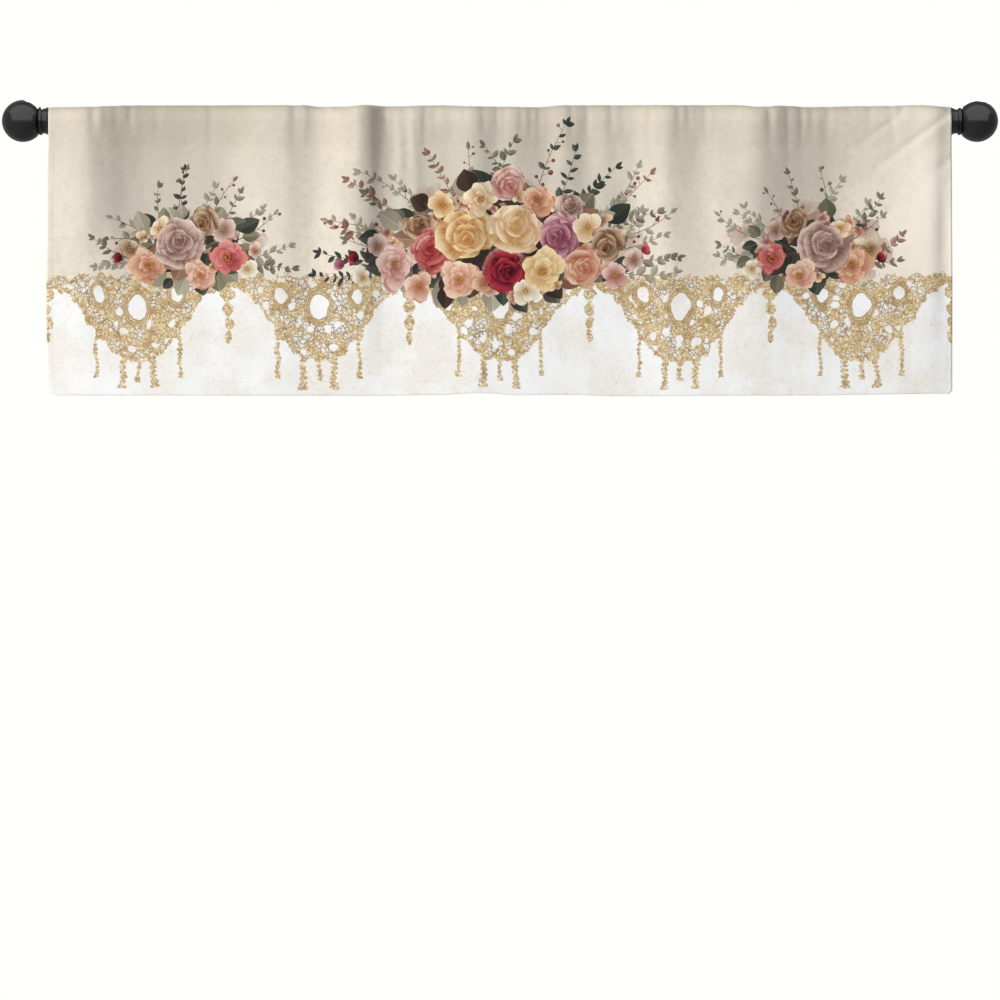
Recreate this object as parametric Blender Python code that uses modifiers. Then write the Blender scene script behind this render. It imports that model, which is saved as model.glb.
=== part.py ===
"""Rod pocket valance on a round curtain rod with two ball finials.

The origin is the middle of the rod's axis. +X runs along the rod, the room is on the -Y side, the
wall on the +Y side, and +Z is up. All sizes are in metres.
"""
import math
from collections import namedtuple

import bmesh
import bpy
from mathutils import Matrix

COLLECTION_NAME = "kitchen_curtain"

# Rod and the gap between pieces that touch.
ROD_DIAMETER = 0.038
ROD_WALL = 0.001
ROD_SIDES = 48
FIT_GAP = 0.0003

# Finials. Distances along a finial run from the middle of its ball towards the cloth.
BALL_DIAMETER = 0.064
BALL_CENTRE = 0.727
BALL_END = 0.0225
BEAD_MIDDLE = 0.0270
BEAD_HALF_WIDTH = 0.0032
BEAD_RADIUS = 0.0215
NECK_RADIUS = 0.0188
COLLAR_RADIUS = 0.0218
COLLAR_EDGE = 0.0008
COLLAR_FACE = 0.0400
SPIGOT_LENGTH = 0.030
SPIGOT_CHAMFER = 0.002
FINIAL_SIDES = 32
BALL_STEPS = 14
BEAD_STEPS = 6
NECK_STEPS = 4

# Valance.
CLOTH_THICKNESS = 0.0015
HEM_DROP = 0.4183
SEAM_DROP = 0.040
SEAM_TURN = math.radians(18.0)
CORNER_RADIUS_LEFT = 0.011
CORNER_RADIUS_RIGHT = 0.003
COLUMN_STEP = 0.0165
POCKET_ROWS = 18
PANEL_ROWS = 13
PANEL_ROW_CROWDING = 1.6
OVER_THE_ROD = 0.010
MERGE_DISTANCE = 0.00001

# The folds, as seen from the left to the right: a place along the rod, how far the cloth stands out
# there below the rod and at the hem, and how far down the cloth the first fades into the second.
Ridge = namedtuple("Ridge", "place height hem reach")
RIDGES = (
    Ridge(-0.690, 0.0105, 0.0010, 0.22),
    Ridge(-0.630, 0.0160, 0.0022, 0.22),
    Ridge(-0.600, 0.0115, 0.0030, 0.22),
    Ridge(-0.565, 0.0038, 0.0040, 0.24),
    Ridge(-0.535, 0.0009, 0.0048, 0.24),
    Ridge(-0.500, 0.0006, 0.0050, 0.24),
    Ridge(-0.434, 0.0025, 0.0042, 0.24),
    Ridge(-0.328, 0.0114, 0.0026, 0.24),
    Ridge(-0.308, 0.0090, 0.0020, 0.24),
    Ridge(-0.282, 0.0064, 0.0016, 0.24),
    Ridge(-0.218, 0.0160, 0.0012, 0.22),
    Ridge(-0.199, 0.0122, 0.0011, 0.22),
    Ridge(-0.180, 0.0040, 0.0010, 0.20),
    Ridge(-0.162, 0.0006, 0.0012, 0.14),
    Ridge(-0.150, 0.0022, 0.0016, 0.10),
    Ridge(-0.142, 0.0012, 0.0018, 0.10),
    Ridge(-0.131, 0.0030, 0.0022, 0.10),
    Ridge(-0.112, 0.0004, 0.0028, 0.18),
    Ridge(-0.080, 0.0024, 0.0038, 0.20),
    Ridge(-0.038, 0.0090, 0.0050, 0.22),
    Ridge(-0.004, 0.0050, 0.0046, 0.16),
    Ridge(0.022, 0.0066, 0.0040, 0.12),
    Ridge(0.047, 0.0040, 0.0036, 0.14),
    Ridge(0.069, 0.0022, 0.0030, 0.16),
    Ridge(0.100, 0.0064, 0.0022, 0.12),
    Ridge(0.134, 0.0022, 0.0016, 0.14),
    Ridge(0.156, 0.0030, 0.0013, 0.14),
    Ridge(0.180, 0.0010, 0.0012, 0.18),
    Ridge(0.198, 0.0004, 0.0014, 0.22),
    Ridge(0.228, 0.0056, 0.0024, 0.24),
    Ridge(0.256, 0.0106, 0.0034, 0.24),
    Ridge(0.280, 0.0078, 0.0042, 0.22),
    Ridge(0.306, 0.0052, 0.0048, 0.22),
    Ridge(0.350, 0.0090, 0.0050, 0.24),
    Ridge(0.392, 0.0152, 0.0044, 0.22),
    Ridge(0.425, 0.0100, 0.0036, 0.22),
    Ridge(0.457, 0.0052, 0.0031, 0.24),
    Ridge(0.490, 0.0018, 0.0030, 0.24),
    Ridge(0.530, 0.0006, 0.0034, 0.26),
    Ridge(0.587, 0.0026, 0.0040, 0.24),
    Ridge(0.625, 0.0065, 0.0034, 0.22),
    Ridge(0.662, 0.0112, 0.0024, 0.20),
    Ridge(0.676, 0.0088, 0.0018, 0.12),
    Ridge(0.690, 0.0090, 0.0010, 0.20),
)

# How far the top edge rises off the rod, at places along it.
Crown = namedtuple("Crown", "place lift")
CROWN = (
    Crown(-0.690, 0.0000),
    Crown(-0.640, 0.0006),
    Crown(-0.560, 0.0032),
    Crown(-0.300, 0.0034),
    Crown(-0.272, 0.0008),
    Crown(-0.236, 0.0010),
    Crown(-0.205, 0.0030),
    Crown(-0.165, 0.0018),
    Crown(-0.090, 0.0034),
    Crown(-0.045, 0.0018),
    Crown(0.060, 0.0007),
    Crown(0.100, 0.0036),
    Crown(0.360, 0.0036),
    Crown(0.392, 0.0010),
    Crown(0.434, 0.0026),
    Crown(0.470, 0.0006),
    Crown(0.560, 0.0022),
    Crown(0.640, 0.0036),
    Crown(0.690, 0.0006),
)

# How far the hem rises above its lowest line, at places along it.
HemLift = namedtuple("HemLift", "place lift")
HEM_LIFTS = (
    HemLift(-0.690, 0.0012),
    HemLift(-0.200, 0.0006),
    HemLift(-0.090, 0.0020),
    HemLift(-0.038, 0.0046),
    HemLift(0.030, 0.0014),
    HemLift(0.100, 0.0022),
    HemLift(0.170, 0.0000),
    HemLift(0.480, 0.0010),
    HemLift(0.560, 0.0024),
    HemLift(0.690, 0.0040),
)

# How far each side of the cloth lies from the middle, at drops below the rod's axis.
Side = namedtuple("Side", "drop left right")
SIDES = (
    Side(0.000, 0.6850, 0.6850),
    Side(0.120, 0.6874, 0.6862),
    Side(0.270, 0.6890, 0.6872),
    Side(0.430, 0.6880, 0.6872),
)

ROD_RADIUS = ROD_DIAMETER / 2
ROD_HALF_LENGTH = BALL_CENTRE - COLLAR_FACE - FIT_GAP
SPIGOT_RADIUS = ROD_RADIUS - ROD_WALL - FIT_GAP
BALL_RADIUS = BALL_DIAMETER / 2
POCKET_RADIUS = (ROD_RADIUS + FIT_GAP) / math.cos(math.pi / POCKET_ROWS) + CLOTH_THICKNESS / 2
SEAM_DISTANCE = SEAM_DROP / math.cos(SEAM_TURN)
TANGENT_ANGLE = math.acos(POCKET_RADIUS / SEAM_DISTANCE)


def read_between(table, column, place, value):
    """Read a short table at any place, with a soft step from one row to the next."""
    if place <= getattr(table[0], column):
        return getattr(table[0], value)
    for low, high in zip(table, table[1:]):
        start = getattr(low, column)
        end = getattr(high, column)
        if place <= end:
            share = (place - start) / (end - start)
            share = share * share * (3 - 2 * share)
            return getattr(low, value) * (1 - share) + getattr(high, value) * share
    return getattr(table[-1], value)


def fold_slope(number, value):
    """Slope of the folds at one row of their table: level on a ridge and in a valley."""
    if number in (0, len(RIDGES) - 1):
        return 0.0
    before, here, after = RIDGES[number - 1:number + 2]
    rise = (getattr(here, value) - getattr(before, value)) / (here.place - before.place)
    next_rise = (getattr(after, value) - getattr(here, value)) / (after.place - here.place)
    if rise * next_rise <= 0:
        return 0.0
    return 2 * rise * next_rise / (rise + next_rise)


def read_folds(place, value):
    """Read the folds' table on a smooth curve through its rows."""
    place = min(max(place, RIDGES[0].place), RIDGES[-1].place)
    number = max(k for k, ridge in enumerate(RIDGES[:-1]) if ridge.place <= place)
    left, right = RIDGES[number:number + 2]
    width = right.place - left.place
    share = (place - left.place) / width
    soft_share = share * share * (3 - 2 * share)
    level = getattr(left, value) * (1 - soft_share) + getattr(right, value) * soft_share
    leaving = fold_slope(number, value) * width * share * (1 - share) ** 2
    arriving = fold_slope(number + 1, value) * width * share * share * (1 - share)
    return level + leaving - arriving


def standing_out(place, drop):
    """How far the folds hold the cloth out towards the room. They change from the seam downwards."""
    height, hem, reach = [read_folds(place, value) for value in ("height", "hem", "reach")]
    fade = math.exp(-(max(drop - SEAM_DROP, 0.0) / reach) ** 2)
    return hem + (height - hem) * fade


def column_places():
    """Places of the sheet's columns: one on each ridge, and even steps between them."""
    places = [RIDGES[0].place]
    for left, right in zip(RIDGES, RIDGES[1:]):
        width = right.place - left.place
        steps = max(1, round(width / COLUMN_STEP))
        places += [left.place + width * step / steps for step in range(1, steps + 1)]
    return places


def corner_inset(drop, radius):
    """How far a rounded bottom corner draws the side in."""
    into = min(max(drop - HEM_DROP + radius, 0.0), radius)
    return radius - math.sqrt(radius * radius - into * into)


def place_along(share, drop):
    """Place along the rod of a point that is a share of the way from the left side to the right."""
    left = read_between(SIDES, "drop", drop, "left") - corner_inset(drop, CORNER_RADIUS_LEFT)
    right = read_between(SIDES, "drop", drop, "right") - corner_inset(drop, CORNER_RADIUS_RIGHT)
    return right * share - left * (1 - share)


def pocket_point(share, turn):
    """A point of the pocket. The turn runs from 0 at the seam, up the back and over the rod, to 1."""
    angle = turn * math.tau
    from_seam = min(angle, math.tau - angle)
    distance = POCKET_RADIUS
    if from_seam < TANGENT_ANGLE:
        distance = POCKET_RADIUS / math.cos(TANGENT_ANGLE - from_seam)
    y = distance * math.sin(angle - SEAM_TURN)
    z = -distance * math.cos(angle - SEAM_TURN)
    place = place_along(share, max(-z, 0.0))
    in_front = min(max(-y / OVER_THE_ROD, 0.0), 1.0)
    y -= in_front * in_front * (3 - 2 * in_front) * standing_out(place, SEAM_DROP)
    if z > 0:
        z *= 1 + read_between(CROWN, "place", place, "lift") / POCKET_RADIUS
    return (place, y, z)


def panel_point(share, turn):
    """A point of the hanging panel. The turn runs from 0 at the seam to 1 at the hem.

    The rows crowd towards the hem, where the corners are round.
    """
    turn = 1 - (1 - turn) ** PANEL_ROW_CROWDING
    lift = read_between(HEM_LIFTS, "place", place_along(share, SEAM_DROP), "lift")
    drop = SEAM_DROP + (HEM_DROP - lift - SEAM_DROP) * turn
    place = place_along(share, HEM_DROP if turn == 1 else drop)
    return (place, -SEAM_DISTANCE * math.sin(SEAM_TURN) - standing_out(place, drop), -drop)


def plain_material(name, colour, roughness, metallic):
    """One Principled material."""
    material = bpy.data.materials.new(name)
    material.use_nodes = True
    shader = material.node_tree.nodes["Principled BSDF"]
    shader.inputs["Base Color"].default_value = (*colour, 1.0)
    shader.inputs["Roughness"].default_value = roughness
    shader.inputs["Metallic"].default_value = metallic
    return material


def add_to_model(name, shape, material):
    """Turn a finished bmesh into an object of the model's collection."""
    mesh = bpy.data.meshes.new(name)
    shape.to_mesh(mesh)
    shape.free()
    mesh.materials.append(material)
    piece = bpy.data.objects.new(name, mesh)
    bpy.data.collections[COLLECTION_NAME].objects.link(piece)
    return piece


def make_valance(material):
    """One sheet: from the seam up the back, over the rod, down the front, and on to the hem."""
    rows = POCKET_ROWS + PANEL_ROWS
    places = column_places()
    columns = len(places) - 1
    sheet = bmesh.new()
    bmesh.ops.create_grid(sheet, x_segments=columns, y_segments=rows, size=0.5)
    for vert in sheet.verts:
        column = round((vert.co.x + 0.5) * columns)
        share = (places[column] - places[0]) / (places[-1] - places[0])
        row = round((vert.co.y + 0.5) * rows)
        if row <= POCKET_ROWS:
            vert.co = pocket_point(share, row / POCKET_ROWS)
        else:
            vert.co = panel_point(share, (row - POCKET_ROWS) / PANEL_ROWS)
    # The turned back edge meets the front along the seam.
    bmesh.ops.remove_doubles(sheet, verts=sheet.verts, dist=MERGE_DISTANCE)
    for face in sheet.faces:
        face.smooth = True
    valance = add_to_model("valance", sheet, material)
    thickness = valance.modifiers.new("cloth thickness", "SOLIDIFY")
    thickness.solidify_mode = "NON_MANIFOLD"
    thickness.nonmanifold_thickness_mode = "CONSTRAINTS"
    thickness.nonmanifold_merge_threshold = MERGE_DISTANCE
    thickness.thickness = CLOTH_THICKNESS
    thickness.offset = 0.0


def make_rod(material):
    """A plain round tube along X, open at both ends for the finials' spigots."""
    tube = bmesh.new()
    bmesh.ops.create_cone(
        tube,
        cap_ends=False,
        segments=ROD_SIDES,
        radius1=ROD_RADIUS,
        radius2=ROD_RADIUS,
        depth=2 * ROD_HALF_LENGTH,
        matrix=Matrix.Rotation(math.pi / 2, 4, "Y"),
    )
    for face in tube.faces:
        face.smooth = True
    rod = add_to_model("curtain_rod", tube, material)
    wall = rod.modifiers.new("tube wall", "SOLIDIFY")
    wall.thickness = ROD_WALL
    wall.offset = -1.0
    wall.use_even_offset = True


def finial_outline():
    """Radius and distance from the ball's middle, from the outer end of the ball to the spigot."""
    outline = []
    ball_sweep = math.acos(-BALL_END / BALL_RADIUS)
    for step in range(BALL_STEPS + 1):
        angle = ball_sweep * step / BALL_STEPS
        outline.append((BALL_RADIUS * math.sin(angle), -BALL_RADIUS * math.cos(angle)))
    for step in range(BEAD_STEPS + 1):
        angle = math.pi * step / BEAD_STEPS
        bulge = (BEAD_RADIUS - NECK_RADIUS) * math.sin(angle)
        outline.append((NECK_RADIUS + bulge, BEAD_MIDDLE - BEAD_HALF_WIDTH * math.cos(angle)))
    neck_start = BEAD_MIDDLE + BEAD_HALF_WIDTH
    for step in range(1, NECK_STEPS + 1):
        share = step / NECK_STEPS
        flare = (COLLAR_RADIUS - NECK_RADIUS) * share ** 2
        outline.append((NECK_RADIUS + flare, neck_start + (COLLAR_FACE - COLLAR_EDGE - neck_start) * share))
    outline.append((COLLAR_RADIUS - COLLAR_EDGE, COLLAR_FACE))
    outline.append((SPIGOT_RADIUS, COLLAR_FACE))
    outline.append((SPIGOT_RADIUS, COLLAR_FACE + SPIGOT_LENGTH - SPIGOT_CHAMFER))
    outline.append((SPIGOT_RADIUS - SPIGOT_CHAMFER, COLLAR_FACE + SPIGOT_LENGTH))
    outline.append((0.0, COLLAR_FACE + SPIGOT_LENGTH))
    return outline


def make_finial(name, side, material):
    """A turned ball end: ball, bead, hollow neck, collar against the cloth's side, and spigot."""
    profile = bmesh.new()
    last = None
    for radius, distance in finial_outline():
        vert = profile.verts.new((radius, 0.0, -distance))
        if last is not None:
            profile.edges.new((last, vert))
        last = vert
    finial = add_to_model(name, profile, material)
    turning = finial.modifiers.new("turning", "SCREW")
    turning.axis = "Z"
    turning.steps = FINIAL_SIDES
    turning.render_steps = FINIAL_SIDES
    turning.use_merge_vertices = True
    turning.merge_threshold = MERGE_DISTANCE
    turning.use_smooth_shade = True
    finial.location.x = side * BALL_CENTRE
    finial.rotation_euler.y = side * math.pi / 2


for old in list(bpy.data.objects):
    bpy.data.objects.remove(old, do_unlink=True)
collection = bpy.data.collections.new(COLLECTION_NAME)
bpy.context.scene.collection.children.link(collection)

make_valance(plain_material("printed_cloth", (0.80, 0.74, 0.64), 0.85, 0.0))
make_rod(plain_material("rod_finish", (0.020, 0.020, 0.021), 0.40, 0.8))
finial_finish = plain_material("finial_finish", (0.018, 0.018, 0.019), 0.28, 0.2)
make_finial("finial_left", -1, finial_finish)
make_finial("finial_right", 1, finial_finish)
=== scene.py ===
import math
import random
from collections import namedtuple

import bmesh
import bpy
import numpy as np
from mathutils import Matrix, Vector
from mathutils.bvhtree import BVHTree
from mathutils.geometry import delaunay_2d_cdt


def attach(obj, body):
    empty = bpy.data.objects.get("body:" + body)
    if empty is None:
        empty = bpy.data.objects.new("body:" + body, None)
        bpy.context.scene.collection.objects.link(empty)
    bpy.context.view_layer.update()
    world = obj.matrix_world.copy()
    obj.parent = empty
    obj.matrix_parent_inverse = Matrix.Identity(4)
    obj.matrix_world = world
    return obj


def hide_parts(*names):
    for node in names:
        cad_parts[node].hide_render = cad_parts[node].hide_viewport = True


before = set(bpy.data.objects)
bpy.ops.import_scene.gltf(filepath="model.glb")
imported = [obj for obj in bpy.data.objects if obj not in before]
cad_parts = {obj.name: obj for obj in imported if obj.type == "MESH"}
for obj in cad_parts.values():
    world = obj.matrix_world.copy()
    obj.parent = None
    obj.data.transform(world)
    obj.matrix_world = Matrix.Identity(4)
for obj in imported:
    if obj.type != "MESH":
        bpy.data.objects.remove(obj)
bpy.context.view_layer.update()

# Curtain rod
# A steel tube of 38 mm, sprayed with black satin enamel. It lies in two brackets and runs through the
# cloth's pocket, so only its last millimetres show, beside the finials' collars.


def to_linear(red, green, blue):
    """Screen colour from 0 to 255, as the light that a surface sends back."""
    shares = [channel / 255 for channel in (red, green, blue)]
    return tuple(s / 12.92 if s <= 0.04045 else ((s + 0.055) / 1.055) ** 2.4 for s in shares)


class Signal:
    """One socket of a node tree, for use in Python expressions."""

    def __init__(self, tree, socket):
        self.tree = tree
        self.socket = socket

    def __add__(self, other):
        return self.tree.maths("ADD", self, other)

    def __radd__(self, other):
        return self.tree.maths("ADD", other, self)

    def __sub__(self, other):
        return self.tree.maths("SUBTRACT", self, other)

    def __rsub__(self, other):
        return self.tree.maths("SUBTRACT", other, self)

    def __mul__(self, other):
        return self.tree.maths("MULTIPLY", self, other)

    def __rmul__(self, other):
        return self.tree.maths("MULTIPLY", other, self)

    def __truediv__(self, other):
        return self.tree.maths("DIVIDE", self, other)

    def __pow__(self, other):
        return self.tree.maths("POWER", self, other)

    def __abs__(self):
        return self.tree.maths("ABSOLUTE", self)

    def wave(self):
        """The height of a sine wave without its sign, a row of round humps."""
        return abs(self.tree.maths("SINE", self))

    def step(self, low, high):
        """0 below low, 1 above high, and a soft step between."""
        ends = {"Value": self, "From Min": low, "From Max": high}
        return self.tree.node("ShaderNodeMapRange", {"interpolation_type": "SMOOTHSTEP"}, ends)

    def below(self, limit, softness):
        """1 under a limit, 0 over it, with a soft step between."""
        return 1 - self.step(limit - softness, limit + softness)


class Tree:
    """A node tree, with a method for each kind of node that the script uses often."""

    def __init__(self, tree):
        self.nodes = tree.nodes
        self.links = tree.links

    def node(self, kind, settings=None, inputs=None, output=0):
        """Any node: its settings first, then the values or links of its sockets."""
        made = self.nodes.new(kind)
        for setting, value in (settings or {}).items():
            setattr(made, setting, value)
        for socket, value in (inputs or {}).items():
            if isinstance(value, Signal):
                self.links.new(value.socket, made.inputs[socket])
            else:
                made.inputs[socket].default_value = value
        return Signal(self, made.outputs[output])

    def maths(self, operation, *values):
        return self.node("ShaderNodeMath", {"operation": operation}, dict(enumerate(values)))

    def blend(self, share, first, second):
        """The first colour where share is 0 and the second where it is 1."""
        colours = {0: share}
        for slot, colour in ((6, first), (7, second)):
            colours[slot] = colour if isinstance(colour, Signal) else (*colour, 1.0)
        return self.node("ShaderNodeMix", {"data_type": "RGBA", "clamp_factor": True}, colours, output=2)

    def noise(self, place, scale, detail=2.0, roughness=0.5, output=0):
        inputs = {"Vector": place, "Scale": scale, "Detail": detail, "Roughness": roughness}
        return self.node("ShaderNodeTexNoise", None, inputs, output)

    def cells(self, place, scale, feature="F1"):
        """Distance to the middle of the nearest of many cells, or to its border."""
        return self.node("ShaderNodeTexVoronoi", {"feature": feature}, {"Vector": place, "Scale": scale})

    def moved(self, place, way, amount=1.0):
        """A place moved along a vector."""
        move = self.node("ShaderNodeVectorMath", {"operation": "SCALE"}, {0: way, "Scale": amount})
        return self.node("ShaderNodeVectorMath", {"operation": "ADD"}, {0: place, 1: move})

    def parts(self, vector):
        """The three parts of a vector."""
        return [self.node("ShaderNodeSeparateXYZ", None, {0: vector}, part) for part in range(3)]

    def vector(self, x, y, z=0.0):
        return self.node("ShaderNodeCombineXYZ", None, {0: x, 1: y, 2: z})

    def largest(self, *signals):
        found = signals[0]
        for signal in signals[1:]:
            found = self.maths("MAXIMUM", found, signal)
        return found


class Finish(Tree):
    """One surface finish: a Principled material with the nodes that vary it."""

    def __init__(self, name, plain):
        self.material = bpy.data.materials.new(name)
        self.material.use_nodes = True
        super().__init__(self.material.node_tree)
        self.shader = self.nodes["Principled BSDF"]
        for socket, value in plain.items():
            self.shader.inputs[socket].default_value = value

    def feed(self, socket, signal):
        self.links.new(signal.socket, self.shader.inputs[socket])

    def bump(self, height, distance, strength=1.0):
        relief = {"Height": height, "Distance": distance, "Strength": strength}
        self.feed("Normal", self.node("ShaderNodeBump", None, relief))


ENAMEL_BLACK = to_linear(22, 22, 23)
PEEL_DEPTH = 0.00005


def enamel(name, roughness, coat):
    """Black satin enamel: a faint orange-peel surface and a few duller, handled places."""
    plain = {"Specular IOR Level": 0.5, "Coat Weight": coat, "Coat Roughness": 0.12}
    finish = Finish(name, plain)
    place = finish.node("ShaderNodeTexCoord", output=3)
    handled = finish.noise(place, 38.0, 3.0)
    worn = tuple(1.5 * channel for channel in ENAMEL_BLACK)
    finish.feed("Base Color", finish.blend(handled, ENAMEL_BLACK, worn))
    finish.feed("Roughness", roughness - 0.06 + 0.14 * handled)
    finish.bump(finish.noise(place, 900.0), PEEL_DEPTH, 0.2)
    return finish.material


rod_enamel = enamel("rod_enamel", 0.34, 0.2)
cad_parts["curtain_rod"].material_slots[0].material = rod_enamel

# Finials
# Each is a hollow casting turned on a lathe and enamelled black: a 64 mm ball, a fine bead, a hollow
# neck that flares to a collar beside the cloth, and a spigot that plugs into the tube.

BALL_CENTRE = 0.727
BALL_RADIUS = 0.032
BALL_END = 0.0225
BEAD_MIDDLE = 0.0270
BEAD_HALF_WIDTH = 0.0032
BEAD_RADIUS = 0.0215
NECK_RADIUS = 0.0188
COLLAR_RADIUS = 0.0218
COLLAR_EDGE = 0.0008
COLLAR_FACE = 0.0400
SPIGOT_RADIUS = 0.0177
SPIGOT_END = 0.0700
SPIGOT_CHAMFER = 0.0020
BALL_FILLET = 0.0006
BALL_STEPS = 48
BEAD_STEPS = 16
NECK_STEPS = 14
EDGE_STEPS = 4
LATHE_STEPS = 112


def finial_outline():
    """Radius and distance from the ball's middle, from the tip of the ball to the spigot's end."""
    outline = []
    ball_sweep = math.acos(-BALL_END / BALL_RADIUS)
    for step in range(BALL_STEPS + 1):
        angle = ball_sweep * step / BALL_STEPS
        outline.append((BALL_RADIUS * math.sin(angle), -BALL_RADIUS * math.cos(angle)))
    outline.append((NECK_RADIUS + BALL_FILLET, BALL_END + BALL_FILLET))
    for step in range(BEAD_STEPS + 1):
        angle = math.pi * step / BEAD_STEPS
        bulge = (BEAD_RADIUS - NECK_RADIUS) * math.sin(angle) ** 0.8
        outline.append((NECK_RADIUS + bulge, BEAD_MIDDLE - BEAD_HALF_WIDTH * math.cos(angle)))
    neck_start = BEAD_MIDDLE + BEAD_HALF_WIDTH
    neck_length = COLLAR_FACE - COLLAR_EDGE - neck_start
    for step in range(1, NECK_STEPS + 1):
        share = step / NECK_STEPS
        flare = (COLLAR_RADIUS - NECK_RADIUS) * share ** 2
        outline.append((NECK_RADIUS + flare, neck_start + neck_length * share))
    for step in range(1, EDGE_STEPS + 1):
        angle = math.pi / 2 * step / EDGE_STEPS
        inwards = COLLAR_EDGE * (1 - math.cos(angle))
        outline.append((COLLAR_RADIUS - inwards, COLLAR_FACE - COLLAR_EDGE * (1 - math.sin(angle))))
    outline.append((SPIGOT_RADIUS, COLLAR_FACE))
    outline.append((SPIGOT_RADIUS, SPIGOT_END - SPIGOT_CHAMFER))
    outline.append((SPIGOT_RADIUS - SPIGOT_CHAMFER, SPIGOT_END))
    outline.append((0.0, SPIGOT_END))
    return outline


def placed(name, data):
    """A new object of the scene, at the origin."""
    made = bpy.data.objects.new(name, data)
    bpy.context.scene.collection.objects.link(made)
    return made


def finished_shape(name, shape, material):
    """Turn a bmesh into a smooth object of one material."""
    for face in shape.faces:
        face.smooth = True
    mesh = bpy.data.meshes.new(name)
    shape.to_mesh(mesh)
    shape.free()
    mesh.materials.append(material)
    return placed(name, mesh)


def finished_piece(name, shape, material):
    """The same for a piece that rides with the rod's body."""
    piece = finished_shape(name, shape, material)
    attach(piece, "root")
    return piece


finial_enamel = enamel("finial_enamel", 0.24, 0.4)
for side, word in ((-1, "left"), (1, "right")):
    turned = bmesh.new()
    profile = [turned.verts.new((-side * distance, 0.0, radius)) for radius, distance in finial_outline()]
    edges = [turned.edges.new(pair) for pair in zip(profile, profile[1:])]
    bmesh.ops.spin(
        turned,
        geom=profile + edges,
        cent=(0.0, 0.0, 0.0),
        axis=(1.0, 0.0, 0.0),
        angle=math.tau,
        steps=LATHE_STEPS,
        use_merge=True,
    )
    bmesh.ops.remove_doubles(turned, verts=turned.verts, dist=0.00001)
    bmesh.ops.recalc_face_normals(turned, faces=turned.faces)
    bmesh.ops.translate(turned, verts=turned.verts, vec=(side * BALL_CENTRE, 0.0, 0.0))
    finial = finished_piece("turned_finial_" + word, turned, finial_enamel)
    finial.data.set_sharp_from_angle(angle=math.radians(50))
    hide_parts("finial_" + word)

# Valance, its shape
# One width of thin polyester cloth. The top is turned back and sewn down as the rod's pocket, and
# the sides and the bottom have turned and sewn hems. It hangs flat but for the soft folds of packing.

HEM_DROP = 0.4183
SEAM_DROP = 0.040
SEAM_TURN = math.radians(18.0)
POCKET_RADIUS = 0.02035
FLAT_HALF_WIDTH = 0.6885
PANEL_LENGTH = HEM_DROP - SEAM_DROP
UNDERLAP = 0.011
BOTTOM_HEM = 0.022
SIDE_HEM = 0.011
CLOTH_THICKNESS = 0.0006
WEAVE_PITCH = 0.0011
PRINT_FINENESS = 0.00008
SIDE_HEM_ROUND = 0.0005
BOTTOM_HEM_ROUND = 0.0010
CORNER_RADIUS_LEFT = 0.011
CORNER_RADIUS_RIGHT = 0.003

# The folds, as seen from the left to the right: a place along the rod, how far the cloth stands out
# there below the rod and at the hem, and how far down the cloth the first fades into the second.
RIDGES = (
    (-0.690, 0.0105, 0.0010, 0.22), (-0.630, 0.0160, 0.0022, 0.22), (-0.600, 0.0115, 0.0030, 0.22),
    (-0.565, 0.0038, 0.0040, 0.24), (-0.535, 0.0009, 0.0048, 0.24), (-0.500, 0.0006, 0.0050, 0.24),
    (-0.434, 0.0025, 0.0042, 0.24), (-0.328, 0.0114, 0.0026, 0.24), (-0.308, 0.0090, 0.0020, 0.24),
    (-0.282, 0.0064, 0.0016, 0.24), (-0.218, 0.0160, 0.0012, 0.22), (-0.199, 0.0122, 0.0011, 0.22),
    (-0.180, 0.0040, 0.0010, 0.20), (-0.162, 0.0006, 0.0012, 0.14), (-0.150, 0.0022, 0.0016, 0.10),
    (-0.142, 0.0012, 0.0018, 0.10), (-0.131, 0.0030, 0.0022, 0.10), (-0.112, 0.0004, 0.0028, 0.18),
    (-0.080, 0.0024, 0.0038, 0.20), (-0.038, 0.0090, 0.0050, 0.22), (-0.004, 0.0050, 0.0046, 0.16),
    (0.022, 0.0066, 0.0040, 0.12), (0.047, 0.0040, 0.0036, 0.14), (0.069, 0.0022, 0.0030, 0.16),
    (0.100, 0.0064, 0.0022, 0.12), (0.134, 0.0022, 0.0016, 0.14), (0.156, 0.0030, 0.0013, 0.14),
    (0.180, 0.0010, 0.0012, 0.18), (0.198, 0.0004, 0.0014, 0.22), (0.228, 0.0056, 0.0024, 0.24),
    (0.256, 0.0106, 0.0034, 0.24), (0.280, 0.0078, 0.0042, 0.22), (0.306, 0.0052, 0.0048, 0.22),
    (0.350, 0.0090, 0.0050, 0.24), (0.392, 0.0152, 0.0044, 0.22), (0.425, 0.0100, 0.0036, 0.22),
    (0.457, 0.0052, 0.0031, 0.24), (0.490, 0.0018, 0.0030, 0.24), (0.530, 0.0006, 0.0034, 0.26),
    (0.587, 0.0026, 0.0040, 0.24), (0.625, 0.0065, 0.0034, 0.22), (0.662, 0.0112, 0.0024, 0.20),
    (0.676, 0.0088, 0.0018, 0.12), (0.690, 0.0090, 0.0010, 0.20),
)

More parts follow.
